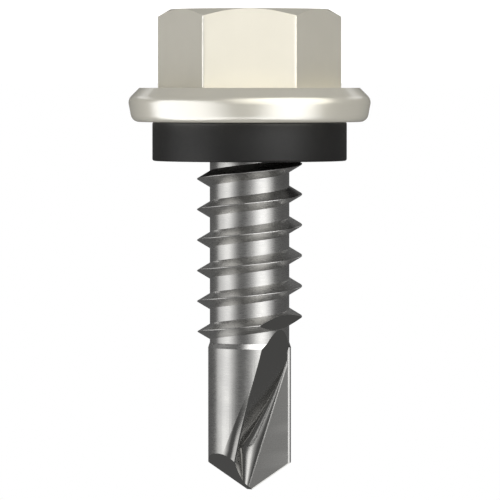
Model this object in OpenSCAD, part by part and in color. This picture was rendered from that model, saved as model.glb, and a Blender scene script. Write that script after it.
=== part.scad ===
// Self drilling screw with a hexagon washer head and a rubber sealing washer.
// It stands on its head: Z = 0 is the flat end of the hexagon, and +Z runs to the drill point.
// The front, with the cutting lip on its -X side, faces -Y. The thread is right-handed.

/* [Hexagon] */
// Width of the hexagon across its flats
hex_flats = 9.47; // [8:0.01:11]
// Height of the hexagon, from its flat end to the flange
hex_height = 4.65; // [3:0.01:7]
// Radius along the six long edges of the hexagon
hex_edge_radius = 0.14; // [0.05:0.01:0.4]
// Diameter of the flat that the chamfer leaves on the end of the hexagon
end_flat_diameter = 9.4; // [7:0.05:9.8]
// Angle of the end chamfer, from the flat end
end_chamfer_angle = 30; // [15:1:45]

/* [Flange] */
// Largest diameter of the flange
flange_diameter = 14.38; // [13.8:0.02:18]
// Thickness of the flange
flange_thickness = 2.02; // [1.8:0.01:3]
// Diameter of the flange's face around the hexagon, inside its 45 degree bevel
flange_face_diameter = 13.1; // [12.6:0.02:13.4]
// Radius between the bevel and the rim
rim_radius = 0.55; // [0.3:0.01:0.6]
// Draft of the rim, which narrows towards the seal
rim_draft = 10.8; // [2:0.2:15]
// Radius between the rim and the face that presses on the seal
under_radius = 0.5; // [0.2:0.01:0.6]

/* [Shank] */
// Length from the flange to the tip of the drill point
length = 21.9; // [19:0.1:60]
// Diameter of the plain neck and of the thread's root
root_diameter = 4.73; // [4:0.01:5]

/* [Thread] */
// Outside diameter of the thread
thread_diameter = 6.25; // [5.6:0.01:7]
// Distance from one crest to the next
thread_pitch = 1.82; // [1.2:0.01:2.4]
// Angle between the two flanks
thread_angle = 60; // [40:1:65]
// Width of the flat on the crest
crest_width = 0.07; // [0.03:0.01:0.15]
// Distance from the seal's face to the first full crest
first_crest_gap = 0.17; // [0.1:0.01:1]
// Distance from the last full crest to the drill body
last_crest_gap = 0.65; // [0.4:0.01:2]
// Turn over which the thread rises out of the neck
start_runout = 120; // [60:5:150]
// Turn over which the thread sinks back into the shank
end_runout = 110; // [60:5:150]

/* [Drill point] */
// Diameter of the drill body
drill_diameter = 4.93; // [4.8:0.01:5.5]
// Length of the drill body, from its shoulder to the tip
drill_length = 8.5; // [7.5:0.1:11]
// Length of the shoulder cone between the shank and the drill body
shoulder_length = 0.3; // [0.1:0.01:0.6]
// Angle between the two cutting lips
point_angle = 110; // [90:1:135]
// Angle at which each end face falls away behind its lip
relief_angle = 31; // [15:1:40]
// Thickness of the web between the two rake faces
web_thickness = 0.48; // [0.3:0.01:0.9]

/* [Flutes] */
// Length of a flute, measured along it
flute_length = 11.4; // [9:0.1:14]
// Lean of a flute from the screw's axis
flute_lean = 15.8; // [10:0.2:18]
// Angle between a flute's wall and its rake face
flute_opening = 120.5; // [105:0.5:130]
// Radius in the corner between the wall and the rake face
flute_corner_radius = 0.72; // [0.3:0.01:0.9]
// Distance that the corner's line has passed the axis at the tip
flute_overlap = 0.4; // [0.2:0.01:0.6]
// Radius along the heel, where the wall meets the outside
heel_radius = 0.53; // [0.2:0.01:0.7]
// Depth below the outside at which that radius starts
heel_depth = 0.36; // [0.2:0.01:0.6]
// Turn of the surface around the heel
heel_turn = 38; // [20:1:50]
// Radius along the margin, where the rake face meets the outside
margin_radius = 0.25; // [0.1:0.01:0.4]

/* [Sealing washer] */
// Outside diameter of the seal
seal_diameter = 11.56; // [10:0.02:13]
// Thickness of the seal
seal_height = 2.31; // [1.5:0.01:4]
// Radius along the outer edge of the seal's face
seal_edge_radius = 0.12; // [0.05:0.01:0.4]
// Gap between the seal's bore and the neck
seal_bore_gap = 0.02; // [0.01:0.01:0.1]
// Gap between the thread's crest and the rim of the seal's flared mouth
seal_mouth_gap = 0.08; // [0.05:0.01:0.3]
// Depth of that flared mouth
seal_mouth_depth = 0.8; // [0.7:0.05:1.2]

/* [Hidden] */
$fn = 96;

// Heights along the screw
seal_top = hex_height + flange_thickness;
seal_face = seal_top + seal_height;
tip = seal_top + length;
drill_start = tip - drill_length;
shoulder_start = drill_start - shoulder_length;

// Radii
root_r = root_diameter / 2;
crest_r = thread_diameter / 2;
drill_r = drill_diameter / 2;
half_web = web_thickness / 2;
mouth_r = crest_r + seal_mouth_gap;

// Lean of a flute's wall across the flute
wall_tilt = flute_opening - 90;

// How far cutters reach past what they cut, and how deep joined solids enter each other
overshoot = 1.5;
sink = 0.2;

// A point at distance r from c, in direction a
function polar(c, r, a) = c + r * [cos(a), sin(a)];

// Hexagon with one flat facing -Y, each corner rounded by four short sides
module soft_hexagon() {
    centre_r = (hex_flats / 2 - hex_edge_radius) / cos(30);
    polygon([for (corner = [0 : 60 : 300], side = [-30 : 15 : 30])
        polar(polar([0, 0], centre_r, corner), hex_edge_radius, corner + side)]);
}

// Hexagon that the socket drives, chamfered around its end
module hexagon() {
    height = hex_height + sink;
    intersection() {
        linear_extrude(height) soft_hexagon();
        cylinder(h = height, r1 = end_flat_diameter / 2,
                 r2 = end_flat_diameter / 2 + height / tan(end_chamfer_angle));
    }
}

// Half section of the flange: bevel, rounded rim with draft, rounded lower edge
module flange_section() {
    face_r = flange_face_diameter / 2;
    rim = [flange_diameter / 2 - rim_radius,
           hex_height + flange_diameter / 2 - rim_radius - face_r + rim_radius * sqrt(2)];
    rim_end = polar(rim, rim_radius, rim_draft);
    under_z = seal_top - under_radius;
    under = [rim_end[0] - (under_z - rim_end[1]) * tan(rim_draft)
             - under_radius / cos(rim_draft), under_z];
    polygon([[0, hex_height], [face_r, hex_height], polar(rim, rim_radius, -45), rim_end,
             polar(under, under_radius, rim_draft), [under[0], seal_top], [0, seal_top]]);
    translate(rim) circle(rim_radius);
    translate(under) circle(under_radius);
}

// Neck, threaded shank and drill body before its flutes are cut
module shank_blank() {
    translate([0, 0, seal_top - sink]) cylinder(h = tip - seal_top, r = root_r);
    translate([0, 0, shoulder_start])
        cylinder(h = shoulder_length, r1 = root_r, r2 = drill_r);
    translate([0, 0, drill_start]) cylinder(h = drill_length, r = drill_r);
}

// Ridge of the thread, swept along its helix, its foot buried in the shank
module thread() {
    step = 6;
    foot_r = root_r - sink;
    first_angle = 180;
    first_z = seal_face + first_crest_gap;
    full_turn = (shoulder_start - last_crest_gap - first_z) / thread_pitch * 360;
    count = round((start_runout + full_turn + end_runout) / step);
    hidden_r = root_r - sink / 4;
    function turn(i) = -start_runout + i * (start_runout + full_turn + end_runout) / count;
    function rise(t) = min(1, (t + start_runout) / start_runout,
                           (full_turn + end_runout - t) / end_runout);
    function ring(t, crest) =
        let (a = first_angle + t, z = first_z + t / 360 * thread_pitch,
             foot = crest_width / 2 + (crest - foot_r) * tan(thread_angle / 2))
        [for (p = [[foot_r, -foot], [crest, -crest_width / 2], [crest, crest_width / 2],
                   [foot_r, foot]])
            [p[0] * cos(a), p[0] * sin(a), z + p[1]]];
    rings = [for (i = [0 : count])
        let (t = turn(i)) ring(t, hidden_r + rise(t) * (crest_r - hidden_r))];
    sides = [for (i = [0 : count - 1], j = [0 : 3])
        let (a = 4 * i + j, b = 4 * i + (j + 1) % 4)
        each [[a, b, a + 4], [b, b + 4, a + 4]]];
    last = 4 * count;
    ends = [[0, 3, 2, 1], [last, last + 1, last + 2, last + 3]];
    polyhedron(points = [for (r = rings) each r], faces = concat(sides, ends));
}

// Point on the wall of a flute, at height h in front of the screw's axis
function on_wall(h) = [-(h - half_web) * tan(wall_tilt), h];

// Section across a flute: the wall rises to the left, the rake face runs to the right
module flute_section(round_heel) {
    corner_run = flute_corner_radius * tan((90 - wall_tilt) / 2);
    far = crest_r + overshoot;
    heel = on_wall(drill_r - heel_depth);
    heel_centre = polar(heel, -heel_radius, wall_tilt);
    heel_end = polar(heel_centre, heel_radius, wall_tilt + heel_turn);
    left = round_heel
        ? [polar(heel_end, far, wall_tilt + heel_turn + 90), heel_end, heel]
        : [on_wall(far)];
    top = left[0][1];
    difference() {
        union() {
            polygon(concat(left, [polar([0, half_web], corner_run, wall_tilt + 90),
                [corner_run, half_web], [2 * far, half_web], [2 * far, top]]));
            translate([corner_run, half_web + flute_corner_radius])
                circle(flute_corner_radius);
        }
        if (round_heel) translate(heel_centre) circle(heel_radius);
    }
}

// Places a section at the tip and sweeps it back along the lean of the front flute
module along_flute(run) {
    translate([flute_overlap, 0, tip])
        rotate([0, 180 + flute_lean, 0])
            translate([0, 0, -overshoot])
                linear_extrude(run + overshoot) mirror([0, 1]) children();
}

module front_flute() {
    heel_run = (tip - drill_start) / cos(flute_lean);
    along_flute(flute_length) flute_section(false);
    along_flute(heel_run) flute_section(true);
}

// Cutter that rounds the margin, on the open side of the flute's wall
module front_margin() {
    far = crest_r + overshoot;
    centre = [drill_r + sink / 8 - margin_radius, half_web - margin_radius];
    intersection() {
        translate([0, 0, drill_start])
            linear_extrude(drill_length + overshoot) rotate(180) difference() {
                polygon([[centre[0], half_web + sink], [centre[0], half_web],
                         [centre[0] + margin_radius, centre[1]],
                         [far, centre[1]], [far, half_web + sink]]);
                translate(centre) circle(margin_radius);
            }
        along_flute(flute_length)
            polygon([on_wall(half_web + far), on_wall(-far), [2 * far, -far], [2 * far, far]]);
    }
}

// Everything above one end face: it falls along its lip and away behind it
module above_end_face() {
    lip = tan(90 - point_angle / 2);
    relief = tan(relief_angle);
    size = 6 * drill_diameter;
    translate([0, 0, tip])
        rotate([0, 0, atan2(-relief, lip)])
            rotate([0, atan(norm([lip, relief])), 0])
                translate([-size / 2, -size / 2, 0]) cube(size);
}

// Steel screw, forged and rolled in one piece
module screw_body() {
    color("#d9d3c3") {
        hexagon();
        rotate_extrude() flange_section();
        difference() {
            union() {
                shank_blank();
                thread();
            }
            for (half = [0, 180]) rotate([0, 0, half]) {
                front_flute();
                front_margin();
                above_end_face();
            }
        }
    }
}

// Rubber ring that seals the hole: its bore grips the neck, and its mouth clears the thread
module sealing_washer() {
    bore_r = root_r + seal_bore_gap;
    rim_r = seal_diameter / 2;
    edge = [rim_r - seal_edge_radius, seal_face - seal_edge_radius];
    color("#2b2a28") rotate_extrude() {
        polygon([[bore_r, seal_top], [rim_r, seal_top], [rim_r, edge[1]],
                 [edge[0], seal_face], [mouth_r, seal_face],
                 [bore_r, seal_face - seal_mouth_depth]]);
        translate(edge) circle(seal_edge_radius);
    }
}

screw_body();
sealing_washer();
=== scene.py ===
"""Self drilling screw, standing on its painted hexagon head with its drill point up.

The photograph shows the screw with its head at the top, so the camera is rolled half a turn.
"""

import math

import bpy
from mathutils import Matrix, Vector


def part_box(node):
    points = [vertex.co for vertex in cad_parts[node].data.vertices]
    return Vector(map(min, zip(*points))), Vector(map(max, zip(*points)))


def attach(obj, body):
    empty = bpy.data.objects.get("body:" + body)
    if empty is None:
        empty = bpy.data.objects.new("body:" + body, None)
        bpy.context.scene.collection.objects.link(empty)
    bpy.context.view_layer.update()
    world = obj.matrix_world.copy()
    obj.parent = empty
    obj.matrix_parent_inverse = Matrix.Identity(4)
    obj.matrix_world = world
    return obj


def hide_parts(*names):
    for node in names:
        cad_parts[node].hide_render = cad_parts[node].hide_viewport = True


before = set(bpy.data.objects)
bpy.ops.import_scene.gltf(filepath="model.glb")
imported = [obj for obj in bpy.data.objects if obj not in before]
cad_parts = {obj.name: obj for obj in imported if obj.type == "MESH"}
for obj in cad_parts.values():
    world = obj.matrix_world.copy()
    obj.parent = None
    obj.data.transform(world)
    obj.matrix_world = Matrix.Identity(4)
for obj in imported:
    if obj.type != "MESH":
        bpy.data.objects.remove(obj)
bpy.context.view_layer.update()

MM = 0.001

# Heights along the screw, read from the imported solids
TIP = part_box("screw_body")[1].z
SEAL_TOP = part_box("sealing_washer")[0].z
SEAL_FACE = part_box("sealing_washer")[1].z

# Head
HEX_FLATS = 9.47 * MM
HEX_HEIGHT = 4.65 * MM
HEX_EDGE_RADIUS = 0.14 * MM
END_FLAT_RADIUS = 4.7 * MM
END_CHAMFER = math.radians(30)
FLANGE_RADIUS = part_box("screw_body")[1].x
FLANGE_FACE_RADIUS = 6.55 * MM
RIM_RADIUS = 0.55 * MM
RIM_DRAFT = math.radians(10.8)
UNDER_RADIUS = 0.5 * MM

# Shank, thread and drill point
ROOT_RADIUS = 2.365 * MM
CREST_RADIUS = 3.125 * MM
PITCH = 1.82 * MM
FLANK = math.radians(30)
CREST_WIDTH = 0.07 * MM
FIRST_CREST_GAP = 0.17 * MM
LAST_CREST_GAP = 0.65 * MM
START_RUNOUT = math.radians(120)
END_RUNOUT = math.radians(110)
DRILL_RADIUS = 2.465 * MM
DRILL_START = TIP - 8.5 * MM
SHOULDER_START = DRILL_START - 0.3 * MM
POINT_SLOPE = 1 / math.tan(math.radians(55))
RELIEF_SLOPE = math.tan(math.radians(31))
LIP_BEVEL = 0.1 * MM

# Front flute. Its flat rake face lies half a web in front of the axis, and its outer edge is
# rounded as a margin. Its inner edge is a raised crease, given by its place at the tip, to the
# photograph's right of the axis, and by its lean.
HALF_WEB = 0.24 * MM
FLUTE_END = TIP - 11 * MM
RUNOUT_LEAN = math.radians(18.9)
CREASE_AT_TIP = -0.14 * MM
CREASE_LEAN = math.radians(17.3)
CREASE_HEIGHT = 0.02 * MM
CREASE_WIDTH = 0.075 * MM
MARGIN_RADIUS = 0.22 * MM

# Hollow corner beside the crease: its radius where it starts, where it is widest and at the
# tip, how far it slips away from the crease where it is widest, and half the length over which
# it bends back
START_CORNER = 0.06 * MM
WIDE_CORNER = 1.05 * MM
TIP_CORNER = 0.2 * MM
CORNER_WIDEST = TIP - 2.65 * MM
CORNER_SLIP = 0.3 * MM
CORNER_BEND = 0.12 * MM

# Heel, where the outside rounds into the flute's wall, first broadly and then tightly: its
# azimuth at the tip, to the photograph's right from the front, its twist back from there, how
# far past the front the broad round turns, and how proud of the outside it stands
HEEL_AT_TIP = math.radians(-67.5)
HEEL_TWIST = math.radians(10.3) / MM
HEEL_BROAD_RADIUS = 1 * MM
HEEL_EDGE_RADIUS = 0.18 * MM
HEEL_EDGE_TURN = math.radians(9)
HEEL_PROUD = 0.01 * MM

# Seal
SEAL_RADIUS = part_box("sealing_washer")[1].x
SEAL_EDGE_RADIUS = 0.12 * MM
BORE_RADIUS = 2.385 * MM
MOUTH_RADIUS = 3.205 * MM
MOUTH_DEPTH = 0.8 * MM

# How finely shapes are drawn: steps round the screw, along arcs and along the flute
ROUND = 144
EDGE_STEPS = 6
RIM_STEPS = 12
UNDER_STEPS = 14
CREST_STEPS = 4
HEEL_STEPS = 8
HEEL_EDGE_STEPS = 5
WALL_STEPS = 8
CORNER_STEPS = 20
MARGIN_STEPS = 10
FLUTE_STEPS = 12
TIP_STEPS = 6

# Angles up to which the edges of each piece are shaded smooth
HEAD_SMOOTH = math.radians(24)
SEAL_SMOOTH = math.radians(40)
SHANK_SMOOTH = math.radians(12)

# How deep joined forms sink into each other, how far blanks and cutters reach past what is
# cut, how short the start of the heel is, and how close points are merged
SINK = 0.2 * MM
THREAD_END_SINK = SINK / 4
BLANK_SPARE = SINK / 2
HEEL_LEAD = SINK / 10
MARGIN_PROUD = SINK / 8
MARGIN_OVERLAP = MARGIN_RADIUS / 8
REACH = 1.5 * MM
SLAB_SIZE = 6 * REACH
CLOSE = 0.0005 * MM


# Modelling


def polar(centre, radius, angle):
    """The point at that distance and angle from centre, in a flat section."""
    return (centre[0] + radius * math.cos(angle), centre[1] + radius * math.sin(angle))


def arc(centre, radius, start, end, steps):
    """Points along an arc of a flat section, both ends included."""
    return [polar(centre, radius, start + (end - start) * i / steps) for i in range(steps + 1)]


def object_mode():
    """Leaves edit mode if it is open."""
    if bpy.context.mode != "OBJECT":
        bpy.ops.object.mode_set(mode="OBJECT")


def pick(obj):
    """Makes obj the one selected object."""
    object_mode()
    bpy.ops.object.select_all(action="DESELECT")
    obj.select_set(True)
    bpy.context.view_layer.objects.active = obj


def edit(obj, kind, wanted):
    """Opens obj in edit mode with the parts of that kind selected for which wanted is true."""
    pick(obj)
    parts = {"VERT": obj.data.vertices, "EDGE": obj.data.edges, "FACE": obj.data.polygons}
    for group in parts.values():
        group.foreach_set("select", [False] * len(group))
    bpy.ops.object.mode_set(mode="EDIT")
    bpy.ops.mesh.select_mode(type=kind)
    bpy.ops.mesh.select_all(action="DESELECT")
    object_mode()
    for part in parts[kind]:
        part.select = bool(wanted(part))
    bpy.ops.object.mode_set(mode="EDIT")


def draw(name, points):
    """One point, extruded from place to place, leaves a line of edges. It stays in edit mode."""
    object_mode()
    bpy.ops.object.select_all(action="DESELECT")
    bpy.ops.mesh.primitive_plane_add(size=SINK)
    obj = bpy.context.object
    obj.name = obj.data.name = name
    bpy.ops.object.mode_set(mode="EDIT")
    bpy.ops.mesh.select_mode(type="VERT")
    bpy.ops.mesh.select_all(action="SELECT")
    bpy.ops.mesh.merge(type="CENTER")
    bpy.ops.transform.translate(value=points[0])
    for here, there in zip(points, points[1:]):
        step = Vector(there) - Vector(here)
        bpy.ops.mesh.extrude_vertices_move(TRANSFORM_OT_translate={"value": step})
    return obj


def tidy(obj):
    """Merges double points and turns every face outwards."""
    edit(obj, "VERT", lambda v: True)
    bpy.ops.mesh.remove_doubles(threshold=CLOSE)
    bpy.ops.mesh.normals_make_consistent(inside=False)
    object_mode()
    return obj


def lathe(name, section, steps=ROUND):
    """Spins a section of (radius, height) points about the screw's axis."""
    obj = draw(name, [(r, 0, z) for r, z in section])
    bpy.ops.mesh.select_all(action="SELECT")
    bpy.ops.mesh.spin(steps=steps, angle=2 * math.pi, center=(0, 0, 0), axis=(0, 0, 1))
    return tidy(obj)


def combine(obj, other, operation):
    """Joins other to obj, cuts it from obj or keeps what both hold, and deletes other."""
    pick(obj)
    step = obj.modifiers.new(operation.lower(), "BOOLEAN")
    step.operation = operation
    step.solver = "EXACT"
    step.object = other
    bpy.ops.object.modifier_apply(modifier=step.name)
    bpy.data.objects.remove(other)


def smooth(obj, angle):
    """Shades obj smooth, apart from edges sharper than angle."""
    pick(obj)
    bpy.ops.object.shade_smooth_by_angle(angle=angle)


def make_head():
    """Hexagon with a chamfered end, standing on the flange that it was forged with."""
    half_side = math.radians(30)
    corner = HEX_FLATS / 2 / math.cos(half_side)
    top = HEX_HEIGHT + SINK
    bpy.ops.object.select_all(action="DESELECT")
    bpy.ops.mesh.primitive_cylinder_add(vertices=6, radius=corner, depth=top,
                                        location=(0, 0, top / 2), rotation=(0, 0, half_side))
    hexagon = bpy.context.object
    hexagon.name = hexagon.data.name = "painted_head"
    bpy.ops.object.transform_apply(location=True, rotation=True)
    points = hexagon.data.vertices
    edit(hexagon, "EDGE", lambda e: points[e.vertices[0]].co.xy.length > SINK
         and (points[e.vertices[0]].co - points[e.vertices[1]].co).xy.length < CLOSE)
    bpy.ops.mesh.bevel(offset=HEX_EDGE_RADIUS * math.tan(half_side), segments=EDGE_STEPS)

    chamfer_top = END_FLAT_RADIUS + top / math.tan(END_CHAMFER)
    cone = lathe("chamfer", [(0, 0), (END_FLAT_RADIUS, 0), (chamfer_top, top), (0, top)])
    combine(hexagon, cone, "INTERSECT")
    tidy(hexagon)

    # The flange slopes at 45 degrees from its flat face to its rounded rim. Past the rim its
    # side leans in by the draft and rounds under to the seal.
    under_z = SEAL_TOP - UNDER_RADIUS
    rim = (FLANGE_RADIUS - RIM_RADIUS,
           HEX_HEIGHT + FLANGE_RADIUS - RIM_RADIUS - FLANGE_FACE_RADIUS
           + RIM_RADIUS * math.sqrt(2))
    rim_end = polar(rim, RIM_RADIUS, RIM_DRAFT)
    under = (rim_end[0] - (under_z - rim_end[1]) * math.tan(RIM_DRAFT)
             - UNDER_RADIUS / math.cos(RIM_DRAFT), under_z)
    section = [(0, HEX_HEIGHT), (FLANGE_FACE_RADIUS, HEX_HEIGHT)]
    section += arc(rim, RIM_RADIUS, -math.pi / 4, RIM_DRAFT, RIM_STEPS)
    section += arc(under, UNDER_RADIUS, RIM_DRAFT, math.pi / 2, UNDER_STEPS)
    section += [(0, SEAL_TOP)]
    combine(hexagon, lathe("flange", section, 2 * ROUND), "UNION")
    tidy(hexagon)
    smooth(hexagon, HEAD_SMOOTH)
    return hexagon


def make_seal():
    """Rubber ring with rounded outer edges, a tight bore and a flared mouth."""
    edge = SEAL_RADIUS - SEAL_EDGE_RADIUS
    top = (edge, SEAL_TOP + SEAL_EDGE_RADIUS)
    face = (edge, SEAL_FACE - SEAL_EDGE_RADIUS)
    section = [(BORE_RADIUS, SEAL_TOP)]
    section += arc(top, SEAL_EDGE_RADIUS, -math.pi / 2, 0, EDGE_STEPS)
    section += arc(face, SEAL_EDGE_RADIUS, 0, math.pi / 2, EDGE_STEPS)
    section += [(MOUTH_RADIUS, SEAL_FACE), (BORE_RADIUS, SEAL_FACE - MOUTH_DEPTH)]
    section += [section[0]]
    seal = lathe("rubber_seal", section, 2 * ROUND)
    smooth(seal, SEAL_SMOOTH)
    return seal


def make_thread():
    """Ridge of the thread: its section is swept along the helix, then sunk at both ends."""
    foot_r = ROOT_RADIUS - SINK
    first_z = SEAL_FACE + FIRST_CREST_GAP
    full_turn = (SHOULDER_START - LAST_CREST_GAP - first_z) / PITCH * 2 * math.pi
    start = math.pi - START_RUNOUT
    turn = START_RUNOUT + full_turn + END_RUNOUT
    centre_z = first_z - START_RUNOUT / (2 * math.pi) * PITCH
    foot = CREST_WIDTH / 2 + (CREST_RADIUS - foot_r) * math.tan(FLANK)
    soft = CREST_WIDTH / 2 / math.cos(FLANK)
    crest = (CREST_RADIUS - soft, 0)
    section = [(foot_r, -foot)]
    section += arc(crest, soft, FLANK - math.pi / 2, math.pi / 2 - FLANK, CREST_STEPS)
    section += [(foot_r, foot)]
    section += [section[0]]
    ridge = draw("thread", [(r * math.cos(start), r * math.sin(start), centre_z + z)
                            for r, z in section])
    tidy(ridge)
    ring = len(ridge.data.vertices)
    count = round(turn / (2 * math.pi) * ROUND)
    sweep = ridge.modifiers.new("sweep", "SCREW")
    sweep.angle = turn
    sweep.screw_offset = turn / (2 * math.pi) * PITCH
    sweep.steps = sweep.render_steps = count
    sweep.use_merge_vertices = False
    pick(ridge)
    bpy.ops.object.modifier_apply(modifier=sweep.name)

    depth = CREST_RADIUS - foot_r
    least = (ROOT_RADIUS - THREAD_END_SINK - foot_r) / depth
    for i in range(count + 1):
        along = i / count * turn
        rise = min(1, along / START_RUNOUT, (turn - along) / END_RUNOUT)
        if rise > 1 - CLOSE:
            continue
        size = least + (1 - least) * rise
        angle = start + along
        anchor = (foot_r * math.cos(angle), foot_r * math.sin(angle),
                  centre_z + along / (2 * math.pi) * PITCH)
        edit(ridge, "VERT", lambda v, low=i * ring: low <= v.index < low + ring)
        bpy.ops.transform.resize(value=(size, size, size), center_override=anchor)
    for low in (0, count * ring):
        edit(ridge, "VERT", lambda v, low=low: low <= v.index < low + ring)
        bpy.ops.mesh.edge_face_add()
    return tidy(ridge)


def flute_ring(z, with_heel):
    """Section of the front flute's cutter at height z: heel, wall, hollow corner and rake face.

    Its points are (to the photograph's right, to its front), and only the last line turns them.
    """
    back = TIP - max(z, DRILL_START)
    runout = max(0, DRILL_START - z) * math.tan(RUNOUT_LEAN)
    if z < CORNER_WIDEST:
        share = max(0, z - DRILL_START) / (CORNER_WIDEST - DRILL_START)
        radius = START_CORNER + share ** 2 * (WIDE_CORNER - START_CORNER)
        slip = CORNER_SLIP * share ** 2
    else:
        share = (TIP + SINK - z) / (TIP + SINK - CORNER_WIDEST)
        radius = TIP_CORNER + share * (WIDE_CORNER - TIP_CORNER)
        slip = CORNER_SLIP * share
    crease = CREASE_AT_TIP + back * math.tan(CREASE_LEAN) + runout
    rise = math.asin(slip / radius)
    hollow = (crease - slip, HALF_WEB + CREASE_HEIGHT + radius * math.cos(rise))

    # The wall is the line that touches both the heel's tight round and the hollow corner
    turn = math.pi / 2 - HEEL_AT_TIP - back * HEEL_TWIST
    broad = polar((runout, 0), DRILL_RADIUS - HEEL_BROAD_RADIUS + HEEL_PROUD, turn)
    edge_start = math.pi / 2 - HEEL_EDGE_TURN
    edge = polar(broad, HEEL_BROAD_RADIUS - HEEL_EDGE_RADIUS, edge_start)
    across, up = edge[0] - hollow[0], edge[1] - hollow[1]
    wall = (math.atan2(up, across)
            - math.acos(-(radius + HEEL_EDGE_RADIUS) / math.hypot(across, up)))
    heel = polar(edge, HEEL_EDGE_RADIUS, wall)
    corner = arc(hollow, radius, math.pi + wall, 1.5 * math.pi + rise, CORNER_STEPS)

    far = 2 * (CREST_RADIUS + REACH)
    if with_heel:
        left = [polar(polar(broad, HEEL_BROAD_RADIUS, turn), far, turn + math.pi / 2)]
        left += arc(broad, HEEL_BROAD_RADIUS, turn, edge_start, HEEL_STEPS)
        left += arc(edge, HEEL_EDGE_RADIUS, edge_start, wall, HEEL_EDGE_STEPS)[1:]
    else:
        # Where the flute runs out the wall goes straight on, with as many points as a heel
        last = HEEL_STEPS + HEEL_EDGE_STEPS + 1
        left = [polar(heel, far * (last - i) / last, wall + math.pi / 2)
                for i in range(last + 1)]
    run = Vector(corner[0]) - Vector(heel)
    left += [tuple(Vector(heel) + run * i / WALL_STEPS) for i in range(1, WALL_STEPS)]
    outline = [(left[0][0], 2 * far)] + left + corner
    outline += [(crease + CREASE_WIDTH, HALF_WEB), (far, HALF_WEB), (far, 2 * far)]
    return [Vector((-u, -h, z)) for u, h in outline]


def loft(name, rings):
    """Closed skin over rings of as many points each, every ring bridged to the next."""
    count = len(rings[0])
    skin = draw(name, rings[0])
    for ring in rings[1:]:
        draw(name, ring)
        object_mode()
        skin.select_set(True)
        bpy.context.view_layer.objects.active = skin
        bpy.ops.object.join()
    for low in range(0, count * len(rings), count):
        edit(skin, "VERT", lambda v, low=low: v.index in (low, low + count - 1))
        bpy.ops.mesh.edge_face_add()
    for low in range(0, count * (len(rings) - 1), count):
        edit(skin, "EDGE", lambda e, low=low: low <= min(e.vertices)
             and max(e.vertices) < low + 2 * count
             and e.vertices[0] // count == e.vertices[1] // count)
        bpy.ops.mesh.bridge_edge_loops()
    for low in (0, count * (len(rings) - 1)):
        edit(skin, "VERT", lambda v, low=low: low <= v.index < low + count)
        bpy.ops.mesh.edge_face_add()
    return tidy(skin)


def flute_cutter():
    """Mills the front flute, which runs out under the thread and has a rounded heel below it."""
    top = TIP + SINK
    bend = (CORNER_WIDEST - CORNER_BEND, CORNER_WIDEST + CORNER_BEND)
    spans = ((DRILL_START, bend[0], FLUTE_STEPS), (*bend, 1), (bend[1], top, TIP_STEPS))
    rings = [flute_ring(FLUTE_END, False), flute_ring(DRILL_START - HEEL_LEAD, False)]
    for low, high, steps in spans:
        rings += [flute_ring(low + (high - low) * i / steps, True) for i in range(steps)]
    rings.append(flute_ring(top, True))
    return loft("flute", rings)


def margin_cutter():
    """Rounds the edge where the front flute's rake face meets the outside."""
    far = CREST_RADIUS + REACH
    centre = (-DRILL_RADIUS - MARGIN_PROUD + MARGIN_RADIUS, MARGIN_RADIUS - HALF_WEB)
    inner = centre[0] + MARGIN_OVERLAP
    deep = -HALF_WEB - SINK
    outline = arc(centre, MARGIN_RADIUS, -math.pi / 2, -math.pi, MARGIN_STEPS)
    outline += [(-far, centre[1]), (-far, deep), (inner, deep), (inner, -HALF_WEB - CLOSE)]
    return loft("margin", [[Vector((x, y, z)) for x, y in outline]
                           for z in (DRILL_START, TIP + REACH)])


def slab(place, outwards):
    """Block that holds everything beyond a flat face through place."""
    object_mode()
    bpy.ops.object.select_all(action="DESELECT")
    bpy.ops.mesh.primitive_cube_add(
        size=SLAB_SIZE, location=place + outwards.normalized() * SLAB_SIZE / 2,
        rotation=Vector((0, 0, 1)).rotation_difference(outwards).to_euler())
    bpy.ops.object.transform_apply(location=True, rotation=True)
    return bpy.context.object


def make_shank():
    """Neck, rolled thread and fluted drill point, milled from one turned blank.

    The same four cuts are made from the front and, half a turn round, from the back. The
    margin keeps the blank's plated finish, and the faces of the other three take a darker steel
    that paints shade on them.
    """
    blank_top = TIP + BLANK_SPARE
    shank = lathe("zinc_shank", [
        (0, SEAL_TOP - SINK), (ROOT_RADIUS, SEAL_TOP - SINK), (ROOT_RADIUS, SHOULDER_START),
        (DRILL_RADIUS, DRILL_START), (DRILL_RADIUS, blank_top), (0, blank_top)])
    combine(shank, make_thread(), "UNION")
    # The second finish is a darker copy of the metal: painted shade on the faces that the cutters
    # leave
    finishes = (zinc_plate(), milled_steel_painted_shade())
    plated, milled = 0, 1
    for finish in finishes:
        shank.data.materials.append(finish)
    end_face = Vector((POINT_SLOPE, -RELIEF_SLOPE, 1))
    lip = Vector((-POINT_SLOPE, 0, 1)).normalized()
    lip_place = Vector((0, -HALF_WEB, TIP + RELIEF_SLOPE * HALF_WEB)) - LIP_BEVEL * lip
    for turned in (False, True):
        cutters = [(flute_cutter(), milled), (margin_cutter(), plated),
                   (slab(Vector((0, 0, TIP)), end_face), milled),
                   (slab(lip_place, lip - Vector((0, 1, 0))), milled)]
        for cutter, finish in cutters:
            for material in finishes:
                cutter.data.materials.append(material)
            faces = cutter.data.polygons
            faces.foreach_set("material_index", [finish] * len(faces))
            if turned:
                cutter.rotation_euler.z = math.pi
                pick(cutter)
                bpy.ops.object.transform_apply(rotation=True)
            combine(shank, cutter, "DIFFERENCE")
    tidy(shank)
    smooth(shank, SHANK_SMOOTH)
    return shank


# Camera at the photograph's place


# Rows, columns and the camera's distance are measured in the photograph's pixels
PIXEL = 0.0595 * MM
PHOTO_WIDTH = 500
AXIS_COLUMN = 249.58
END_ROW = 9.8
HORIZON_ROW = 88
CAMERA_DISTANCE = 4230 * PIXEL
SENSOR_WIDTH = 36
NEAREST = 0.01
FARTHEST = 20


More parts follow.
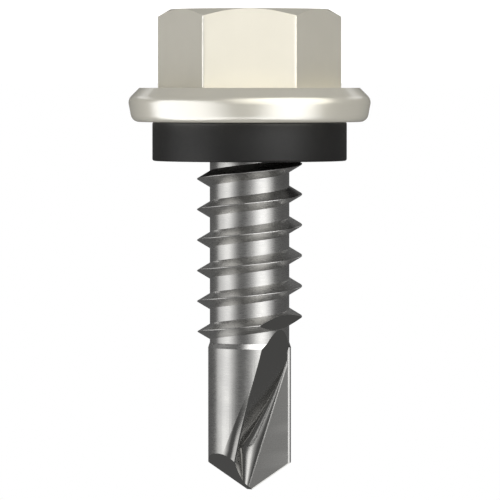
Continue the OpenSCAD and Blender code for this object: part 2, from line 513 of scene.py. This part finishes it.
def make_camera():
    """Camera level with the flange, looking along +Y and rolled so that the head is on top."""
    side = (AXIS_COLUMN - PHOTO_WIDTH / 2) * PIXEL
    eye = Vector((side, -CAMERA_DISTANCE, (HORIZON_ROW - END_ROW) * PIXEL))
    target = Vector((side, 0, (PHOTO_WIDTH / 2 - END_ROW) * PIXEL))
    look = (target - eye).normalized()
    right = look.cross(Vector((0, 0, -1))).normalized()
    up = right.cross(look)
    data = bpy.data.cameras.new("camera")
    camera = bpy.data.objects.new("camera", data)
    bpy.context.scene.collection.objects.link(camera)
    turn = Matrix((right, up, -look)).transposed().to_4x4()
    camera.matrix_world = Matrix.Translation(eye) @ turn
    data.sensor_width = SENSOR_WIDTH
    data.lens = SENSOR_WIDTH * (target - eye).length / (PHOTO_WIDTH * PIXEL)
    data.clip_start = NEAREST
    data.clip_end = FARTHEST
    bpy.context.scene.camera = camera


# Materials


def linear(hex_colour):
    """An sRGB hex colour as the linear colour that a shader takes."""
    parts = [int(hex_colour[i:i + 2], 16) / 255 for i in (1, 3, 5)]
    return [p / 12.92 if p <= 0.04045 else ((p + 0.055) / 1.055) ** 2.4 for p in parts] + [1]


def add(tree, kind, inputs, **settings):
    """Adds a node with its settings, and gives its inputs their values or links."""
    node = tree.nodes.new("ShaderNode" + kind)
    for name, value in settings.items():
        setattr(node, name, value)
    for name, value in inputs.items():
        if isinstance(value, bpy.types.NodeSocket):
            tree.links.new(value, node.inputs[name])
        else:
            node.inputs[name].default_value = value
    return node


def start_material(name):
    """A material with nothing in it, and its place on the object as coordinates."""
    material = bpy.data.materials.new(name)
    material.use_nodes = True
    tree = material.node_tree
    tree.nodes.clear()
    place = add(tree, "TexCoord", {}).outputs["Object"]
    return material, tree, place


def grain(tree, place, size, detail=2, stretch=(1, 1, 1)):
    """Noise whose patches are about size across, drawn out along each axis by stretch."""
    scale = [1 / (size * s) for s in stretch]
    spread = add(tree, "Mapping", {"Vector": place, "Scale": scale})
    noise = add(tree, "TexNoise", {"Vector": spread.outputs["Vector"], "Scale": 1,
                                   "Detail": detail})
    return noise.outputs["Fac"]


def between(tree, factor, low, high, start=0.35, end=0.65):
    """Turns noise, most of which lies from start to end, into a value from low to high."""
    return add(tree, "MapRange", {"Value": factor, "From Min": start, "From Max": end,
                                  "To Min": low, "To Max": high}).outputs["Result"]


def blend(tree, factor, low, high):
    """Mixes two hex colours."""
    mixed = add(tree, "MixRGB", {"Fac": factor, "Color1": linear(low), "Color2": linear(high)})
    return mixed.outputs["Color"]


def bump(tree, height, depth, under=None):
    """Tilts the surface by a height pattern that is depth deep."""
    inputs = {"Height": height, "Strength": 1, "Distance": depth}
    if under:
        inputs["Normal"] = under
    return add(tree, "Bump", inputs).outputs["Normal"]


def surface(tree, inputs):
    """Finishes a material with one shader that takes these inputs."""
    shader = add(tree, "BsdfPrincipled", inputs)
    add(tree, "OutputMaterial", {"Surface": shader.outputs["BSDF"]})


# Rolling lines and milling lines run across the shank, so they are drawn out along X and Y
ACROSS_SHANK = (8, 8, 1)


def baked_paint():
    """Polyester powder coat, sprayed and baked: one even cream under a clear gloss.

    It flows out almost flat, so its orange peel hardly disturbs a highlight. The grain of its
    pigment is too fine to show, so it is drawn coarser than it is.
    """
    material, tree, place = start_material("baked_cream_paint")
    cloud = between(tree, grain(tree, place, 2.5 * MM), 0, 1)
    fine = grain(tree, place, 0.12 * MM, 1)
    peel = grain(tree, place, 0.9 * MM, 1)
    surface(tree, {
        "Base Color": blend(tree, cloud, "#cbc7ba", "#cecabd"),
        "Roughness": between(tree, fine, 0.268, 0.272),
        "Coat Weight": 0.5, "Coat Roughness": 0.12,
        "Normal": bump(tree, peel, 0.0001 * MM)})
    return material


def zinc_plate():
    """Bright zinc, electroplated on rolled steel: a light grey metal with a satin sheen.

    Its crystals and the rolling lines under it give that sheen. They are too fine to show, so
    they are drawn coarser than they are.
    """
    material, tree, place = start_material("bright_zinc_plate")
    cloud = between(tree, grain(tree, place, 1.2 * MM), 0, 1)
    lines = grain(tree, place, 0.05 * MM, 2, ACROSS_SHANK)
    fine = grain(tree, place, 0.03 * MM, 1)
    surface(tree, {
        "Base Color": blend(tree, cloud, "#cbcac8", "#d6d5d2"),
        "Metallic": 1,
        "Roughness": between(tree, lines, 0.26, 0.32),
        "Normal": bump(tree, fine, 0.0002 * MM, bump(tree, lines, 0.0004 * MM))})
    return material


def milled_steel_painted_shade():
    """Hardened steel of the flutes and the point's end faces: glossier than the plate, and darker
    than it as painted shade.

    The lines that a cutter leaves across the flute are too fine to show, so they are drawn
    coarser than they are.
    """
    material, tree, place = start_material("milled_steel_painted_shade")
    lines = grain(tree, place, 0.04 * MM, 2, ACROSS_SHANK)
    surface(tree, {
        # The dark base colour is painted shade for the flutes and the point's end faces
        "Base Color": linear("#b9b8b5"),
        "Metallic": 1,
        "Roughness": between(tree, lines, 0.15, 0.19),
        "Normal": bump(tree, lines, 0.0002 * MM)})
    return material


def moulded_rubber():
    """EPDM rubber, moulded: black with a dull skin, from the fine grain of its mould.

    The grain is too fine to show, so it is drawn coarser than it is.
    """
    material, tree, place = start_material("black_moulded_rubber")
    cloud = between(tree, grain(tree, place, 1.5 * MM), 0, 1)
    fine = grain(tree, place, 0.06 * MM, 2)
    surface(tree, {
        "Base Color": blend(tree, cloud, "#1d1c1b", "#21201e"),
        "Roughness": between(tree, fine, 0.40, 0.52),
        "Normal": bump(tree, fine, 0.002 * MM)})
    return material


# Lights, floor and surroundings


# Each soft box: pairs of an azimuth and how bright the box is there, the elevations of its two
# edges, and its full radiance. Azimuths run to the photograph's right from its front, and
# elevations to its top.
LEFT_STRIP = ([(-107, 0), (-102, 0.5), (-84, 0.65), (-68, 1), (-60, 0.95), (-48, 0.45),
               (-32, 0)], (-60, 20), 1.3)
RIGHT_STRIP = ([(-14, 0), (6, 0.25), (28, 1), (46, 1), (60, 0.55), (78, 0)], (-14, 60), 1.6)
HIGH_FRONT = ([(-10, 0), (-4, 1), (56, 1), (66, 0)], (24, 44), 1.6)
LOW_RIGHT = ([(82, 0), (88, 1), (104, 1), (110, 0)], (-63, -51), 1.6)
HEEL_LIGHT = ([(-4, 0), (8, 1), (36, 1), (50, 0)], (-36, -23), 1)
BACK_LEFT = ([(-156, 0), (-144, 1), (-126, 1), (-114, 0)], (20, 32), 1.5)
BACK_RIGHT = ([(114, 0), (126, 1), (144, 1), (156, 0)], (20, 32), 1.5)
HEAD_FRONT = ([(-22, 0), (0, 0.62), (14, 1), (74, 1), (88, 0)], (-16, 58), 10.2)
HEAD_RIGHT = ([(6, 0), (30, 1), (54, 1), (78, 0)], (-70, -12), 9.3)
HEAD_LEFT = ([(-111, 0), (-97, 1), (-46, 1), (-20, 0)], (-70, 22), 7.5)
LIGHT_DISTANCE = 0.4
WHITE = (1, 1, 1)
WARM = (1, 0.96, 0.84)

# How bright the surroundings are to the camera, on dull surfaces and in glossy ones
CAMERA_LIGHT = 1
DIFFUSE_LIGHT = 0.75
GLOSSY_LIGHT = 0.115

FLOOR_SIZE = 8
FLOOR_COLOUR = (0.8, 0.8, 0.8, 1)
FLOOR_GLOW = 0.6


def facing(azimuth, elevation):
    """Direction from the screw, with azimuth to the photograph's right and elevation to its top."""
    a, e = math.radians(azimuth), math.radians(elevation)
    return Vector((-math.sin(a) * math.cos(e), -math.cos(a) * math.cos(e), -math.sin(e)))


def soft_box(name, box, aim, lit=None, tint=WHITE):
    """Area light that faces aim, and that shows only on the pieces in lit if any are given."""
    profile, elevations, radiance = box
    left, right = profile[0][0], profile[-1][0]
    half = math.tan(math.radians(right - left) / 2)
    rise = math.tan(math.radians(elevations[1] - elevations[0]) / 2)
    data = bpy.data.lights.new(name, "AREA")
    data.shape = "RECTANGLE"
    data.size = 2 * LIGHT_DISTANCE * half
    data.size_y = 2 * LIGHT_DISTANCE * rise
    data.energy = radiance * math.pi * data.size * data.size_y
    data.color = tint
    data.use_nodes = True
    tree = data.node_tree
    tree.nodes.clear()
    across = add(tree, "SeparateXYZ", {
        "Vector": add(tree, "NewGeometry", {}).outputs["Parametric"]}).outputs["X"]
    ramp = add(tree, "ValToRGB", {"Fac": across})
    steps = ramp.color_ramp.elements
    while len(steps) < len(profile):
        steps.new(0.5)
    for step, (azimuth, level) in zip(steps, profile):
        turn = math.tan(math.radians(azimuth - (left + right) / 2))
        step.position = 0.5 + turn / half / 2
        step.color = (level, level, level, 1)
    glow = add(tree, "Emission", {"Color": ramp.outputs["Color"], "Strength": 1})
    add(tree, "OutputLight", {"Surface": glow.outputs["Emission"]})
    light = bpy.data.objects.new(name, data)
    bpy.context.scene.collection.objects.link(light)
    out = facing((left + right) / 2, sum(elevations) / 2)
    side = facing((left + right) / 2 + 90, 0)
    light.matrix_world = (Matrix.Translation(aim + out * LIGHT_DISTANCE)
                          @ Matrix((side, out.cross(side), out)).transposed().to_4x4())
    light.visible_camera = False
    light.visible_diffuse = False
    if lit:
        light.light_linking.receiver_collection = lit


def only(name, piece):
    """Collection of one piece, for lights that show on no other."""
    group = bpy.data.collections.new(name)
    group.objects.link(piece)
    return group


def make_lights(head, shank):
    """Soft boxes for the whole screw, for the flute's heel and for the glossy head.

    The two strips draw the long highlights of the shank, the high one whitens the shoulder and
    the low one the bevel along the lip. Two more stand at the back. Paint reflects little, so
    the head has brighter ones of its own.
    """
    middle = Vector((0, 0, TIP / 2))
    low = Vector((0, 0, SEAL_TOP / 2))
    shank_only = only("fluted_shank", shank)
    head_only = only("glossy_head", head)
    soft_box("left_strip", LEFT_STRIP, middle)
    soft_box("right_strip", RIGHT_STRIP, middle)
    soft_box("high_front", HIGH_FRONT, middle)
    soft_box("low_right", LOW_RIGHT, middle)
    soft_box("heel_light", HEEL_LIGHT, middle, shank_only)
    soft_box("back_left", BACK_LEFT, middle)
    soft_box("back_right", BACK_RIGHT, middle)
    soft_box("head_front", HEAD_FRONT, low, head_only, WARM)
    soft_box("head_right", HEAD_RIGHT, low, head_only)
    soft_box("head_left", HEAD_LEFT, low, head_only)


def make_world():
    """White to the camera, an even fill on dull surfaces and a dim room in glossy ones."""
    world = bpy.data.worlds.new("studio")
    bpy.context.scene.world = world
    world.use_nodes = True
    world.cycles.sampling_method = "NONE"
    tree = world.node_tree
    tree.nodes.clear()
    ray = add(tree, "LightPath", {}).outputs
    dull = add(tree, "MapRange", {"Value": ray["Is Diffuse Ray"], "To Min": GLOSSY_LIGHT,
                                  "To Max": DIFFUSE_LIGHT}).outputs["Result"]
    level = add(tree, "MapRange", {"Value": ray["Is Camera Ray"], "To Min": dull,
                                   "To Max": CAMERA_LIGHT}).outputs["Result"]
    background = add(tree, "Background", {"Color": (*WHITE, 1), "Strength": level})
    add(tree, "OutputWorld", {"Surface": background.outputs["Background"]})


def make_floor():
    """Pale floor that only the camera sees, so that no light is lost or coloured by it."""
    bpy.ops.object.select_all(action="DESELECT")
    bpy.ops.mesh.primitive_plane_add(size=FLOOR_SIZE)
    floor = bpy.context.object
    floor.name = floor.data.name = "floor"
    floor.visible_diffuse = False
    floor.visible_glossy = False
    floor.visible_shadow = False
    material, tree, _ = start_material("pale_floor")
    surface(tree, {"Base Color": FLOOR_COLOUR, "Roughness": 1, "Specular IOR Level": 0,
                   "Emission Color": (*WHITE, 1), "Emission Strength": FLOOR_GLOW})
    material.cycles.emission_sampling = "NONE"
    floor.data.materials.append(material)


bpy.context.scene.view_settings.view_transform = "Standard"
make_camera()
head = make_head()
seal = make_seal()
shank = make_shank()

head.data.materials.append(baked_paint())
seal.data.materials.append(moulded_rubber())
make_world()
make_floor()
make_lights(head, shank)

for piece, nodes, slot in ((head, ["screw_body"], "head_paint"),
                           (shank, ["screw_body"], "zinc_steel"),
                           (seal, ["sealing_washer"], "seal_rubber")):
    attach(piece, "root")
    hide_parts(*nodes)
